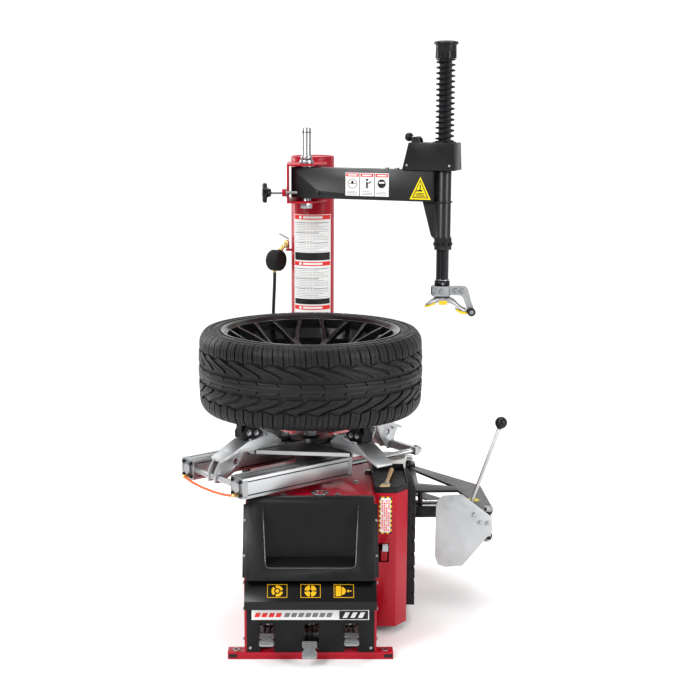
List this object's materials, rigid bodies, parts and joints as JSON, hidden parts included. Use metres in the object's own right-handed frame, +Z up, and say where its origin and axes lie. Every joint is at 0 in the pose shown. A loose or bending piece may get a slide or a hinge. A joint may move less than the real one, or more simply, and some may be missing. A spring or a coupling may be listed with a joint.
{
  "type": "tire changer machine",
  "caption": "Swing-arm tire changer: clamping turntable with a wheel on it, column with swinging tool arm, and a side bead breaker.",
  "frame": {"origin": "centre of the footprint on the floor", "axes": "+Z up, the front with the pedals faces -Y, the bead breaker is on the +X side"},
  "size_m": [1.0663, 1.136, 1.914],
  "materials": {
    "red_paint": "satin powder coat",
    "black_paint": "satin powder coat",
    "hood_gloss": "gloss paint",
    "console_plastic": "fine moulded grain",
    "black_plastic": "smooth moulded",
    "steel": "ground and zinc plated",
    "slide_steel": "milled, bright edges",
    "chrome": "polished",
    "cast_aluminium": "as cast, satin",
    "extruded_aluminium": "clear anodised",
    "cast_iron": "as cast",
    "black_oxide": "oiled black oxide",
    "rim_black": "gloss black paint",
    "tire_rubber": "satin, moulded tread",
    "rubber": "matt",
    "hose_rubber": "smooth",
    "white_plastic": "moulded",
    "yellow_nylon": "moulded",
    "light_wood": "sanded, bare",
    "brass": "machined",
    "label": "printed vinyl"
  },
  "bodies": {
    "base": {"foot_front": "red_paint", "foot_rear": "red_paint", "cabinet_shell": "red_paint", "front_console": "console_plastic", "pedal_hood": "hood_gloss", "pedal_panel": "black_paint", "pedal_frame": "black_paint", "side_locker": "red_paint", "soap_tray": "console_plastic", "soap_brush": "light_wood", "lubricant_bucket": "white_plastic", "bead_pad": "rubber", "gearbox": "cast_iron", "motor": "cast_aluminium", "drive_belt": "rubber", "breaker_cylinder": "extruded_aluminium", "air_unit": "black_plastic", "breaker_mount": "black_paint", "column": "red_paint", "swing_bracket": "red_paint", "pivot_shaft": "steel", "inflator_gauge": "rubber", "inflator_hose": "hose_rubber"},
    "left_pedal": {"pedal_left": "steel"},
    "center_pedal": {"pedal_center": "steel"},
    "right_pedal": {"pedal_right": "steel"},
    "lever": {"tire_lever": "steel"},
    "gearbox_input": {"gearbox_pulley": "cast_iron"},
    "motor_rotor": {"motor_pulley": "cast_iron"},
    "bead_arm": {"breaker_arm": "black_paint"},
    "bead_rod": {"breaker_rod": "chrome"},
    "bead_blade": {"breaker_blade": "cast_aluminium", "blade_lever": "steel"},
    "stop_knob": {"stop_screw": "black_plastic"},
    "inflator_lever": {"inflator_trigger": "steel"},
    "arm": {"swing_arm": "black_paint", "tool_sleeve": "black_paint", "lock_housing": "black_plastic", "shaft_spring": "black_oxide"},
    "arm_lock": {"lock_lever": "black_plastic"},
    "tool": {"tool_shaft": "black_oxide", "shaft_cap": "black_plastic", "mount_head": "cast_aluminium"},
    "roller": {"head_roller": "yellow_nylon"},
    "turntable": {"turntable_plate": "black_paint", "turntable_shaft": "cast_iron"},
    "jaw_1": {"jaw_slide_1": "slide_steel", "jaw_claw_1": "black_oxide", "cylinder_barrel_1": "extruded_aluminium", "cylinder_barrel_2": "extruded_aluminium"},
    "jaw_2": {"jaw_slide_2": "slide_steel", "jaw_claw_2": "black_oxide"},
    "jaw_3": {"jaw_slide_3": "slide_steel", "jaw_claw_3": "black_oxide", "piston_rod_1": "chrome", "piston_rod_2": "chrome"},
    "jaw_4": {"jaw_slide_4": "slide_steel", "jaw_claw_4": "black_oxide"},
    "wheel": {"wheel_rim": "rim_black", "tire": "tire_rubber"}
  },
  "joints": [
    {"name": "left_pedal_press", "type": "hinge", "parent": "base", "child": "left_pedal", "pos_m": [-0.1099, -0.3835, 0.078], "axis": [1, 0, 0], "range_deg": [-6, 7], "stiffness_Nm_per_rad": 30, "springref_deg": -0.97},
    {"name": "center_pedal_press", "type": "hinge", "parent": "base", "child": "center_pedal", "pos_m": [-0.1099, -0.3835, 0.078], "axis": [1, 0, 0], "range_deg": [0, 7], "stiffness_Nm_per_rad": 10, "springref_deg": -14.32},
    {"name": "right_pedal_press", "type": "hinge", "parent": "base", "child": "right_pedal", "pos_m": [-0.1099, -0.3835, 0.078], "axis": [1, 0, 0], "range_deg": [0, 7], "stiffness_Nm_per_rad": 10, "springref_deg": -14.32},
    {"name": "lever_draw", "type": "slide", "parent": "base", "child": "lever", "axis": [0, -1, 0], "range_m": [0, 0.25]},
    {"name": "turntable_spin", "type": "hinge", "parent": "base", "child": "turntable", "pos_m": [-0.1099, -0.0535, 0.605], "axis": [0, 0, 1], "continuous": true},
    {"name": "gearbox_input_spin", "type": "hinge", "parent": "base", "child": "gearbox_input", "pos_m": [-0.1499, 0.0695, 0.388], "axis": [0, 1, 0], "continuous": true},
    {"name": "motor_spin", "type": "hinge", "parent": "base", "child": "motor_rotor", "pos_m": [-0.1499, 0.0695, 0.15], "axis": [0, 1, 0], "continuous": true},
    {"name": "jaw_1_slide", "type": "slide", "parent": "turntable", "child": "jaw_1", "axis": [-0.788, -0.6157, 0], "range_m": [-0.11, 0]},
    {"name": "jaw_2_slide", "type": "slide", "parent": "turntable", "child": "jaw_2", "axis": [-0.6157, 0.788, 0], "range_m": [-0.11, 0]},
    {"name": "jaw_3_slide", "type": "slide", "parent": "turntable", "child": "jaw_3", "axis": [0.788, 0.6157, 0], "range_m": [-0.11, 0]},
    {"name": "jaw_4_slide", "type": "slide", "parent": "turntable", "child": "jaw_4", "axis": [0.6157, -0.788, 0], "range_m": [-0.11, 0]},
    {"name": "wheel_lift", "type": "slide", "parent": "turntable", "child": "wheel", "axis": [0, 0, 1], "range_m": [0, 0.35]},
    {"name": "bead_arm_swing", "type": "hinge", "parent": "base", "child": "bead_arm", "pos_m": [0.2501, 0.3865, 0.336], "axis": [0, 0, 1], "range_deg": [-5, 25]},
    {"name": "bead_rod_slide", "type": "slide", "parent": "base", "child": "bead_rod", "axis": [1, 0, 0], "range_m": [-0.02, 0.1]},
    {"name": "bead_blade_turn", "type": "hinge", "parent": "bead_arm", "child": "bead_blade", "pos_m": [0.4781, -0.1615, 0.336], "axis": [0, 0, 1], "range_deg": [-60, 10]},
    {"name": "stop_screw_turn", "type": "hinge", "parent": "base", "child": "stop_knob", "pos_m": [-0.2679, 0.2285, 1.406], "axis": [1, 0, 0], "continuous": true},
    {"name": "inflator_lever_press", "type": "hinge", "parent": "base", "child": "inflator_lever", "pos_m": [-0.1879, 0.4585, 1.221], "axis": [0, -1, 0], "range_deg": [0, 12], "stiffness_Nm_per_rad": 0.4, "springref_deg": -17.19},
    {"name": "arm_swing", "type": "hinge", "parent": "base", "child": "arm", "pos_m": [-0.1239, 0.2745, 1.436], "axis": [0, 0, 1], "range_deg": [-62, 30]},
    {"name": "arm_lock_turn", "type": "hinge", "parent": "arm", "child": "arm_lock", "pos_m": [0.24777, 0.12131, 1.592], "axis": [0.3811, 0.9245, 0], "range_deg": [0, 25]},
    {"name": "tool_drop", "type": "slide", "parent": "arm", "child": "tool", "axis": [0, 0, -1], "range_m": [0, 0.2], "stiffness_N_per_m": 500, "springref_m": -0.25, "deforming": ["shaft_spring"]},
    {"name": "roller_spin", "type": "hinge", "parent": "tool", "child": "roller", "pos_m": [0.43652, 0.08473, 1.014], "axis": [0, 1, 0], "continuous": true}
  ],
  "couplings": [
    {"joint": "jaw_2_slide", "follows": "jaw_1_slide", "ratio": 1},
    {"joint": "jaw_3_slide", "follows": "jaw_1_slide", "ratio": 1},
    {"joint": "jaw_4_slide", "follows": "jaw_1_slide", "ratio": 1},
    {"joint": "bead_rod_slide", "follows": "bead_arm_swing", "m_per_rad": 0.208},
    {"joint": "gearbox_input_spin", "follows": "turntable_spin", "ratio": 30},
    {"joint": "motor_spin", "follows": "turntable_spin", "ratio": 60}
  ]
}
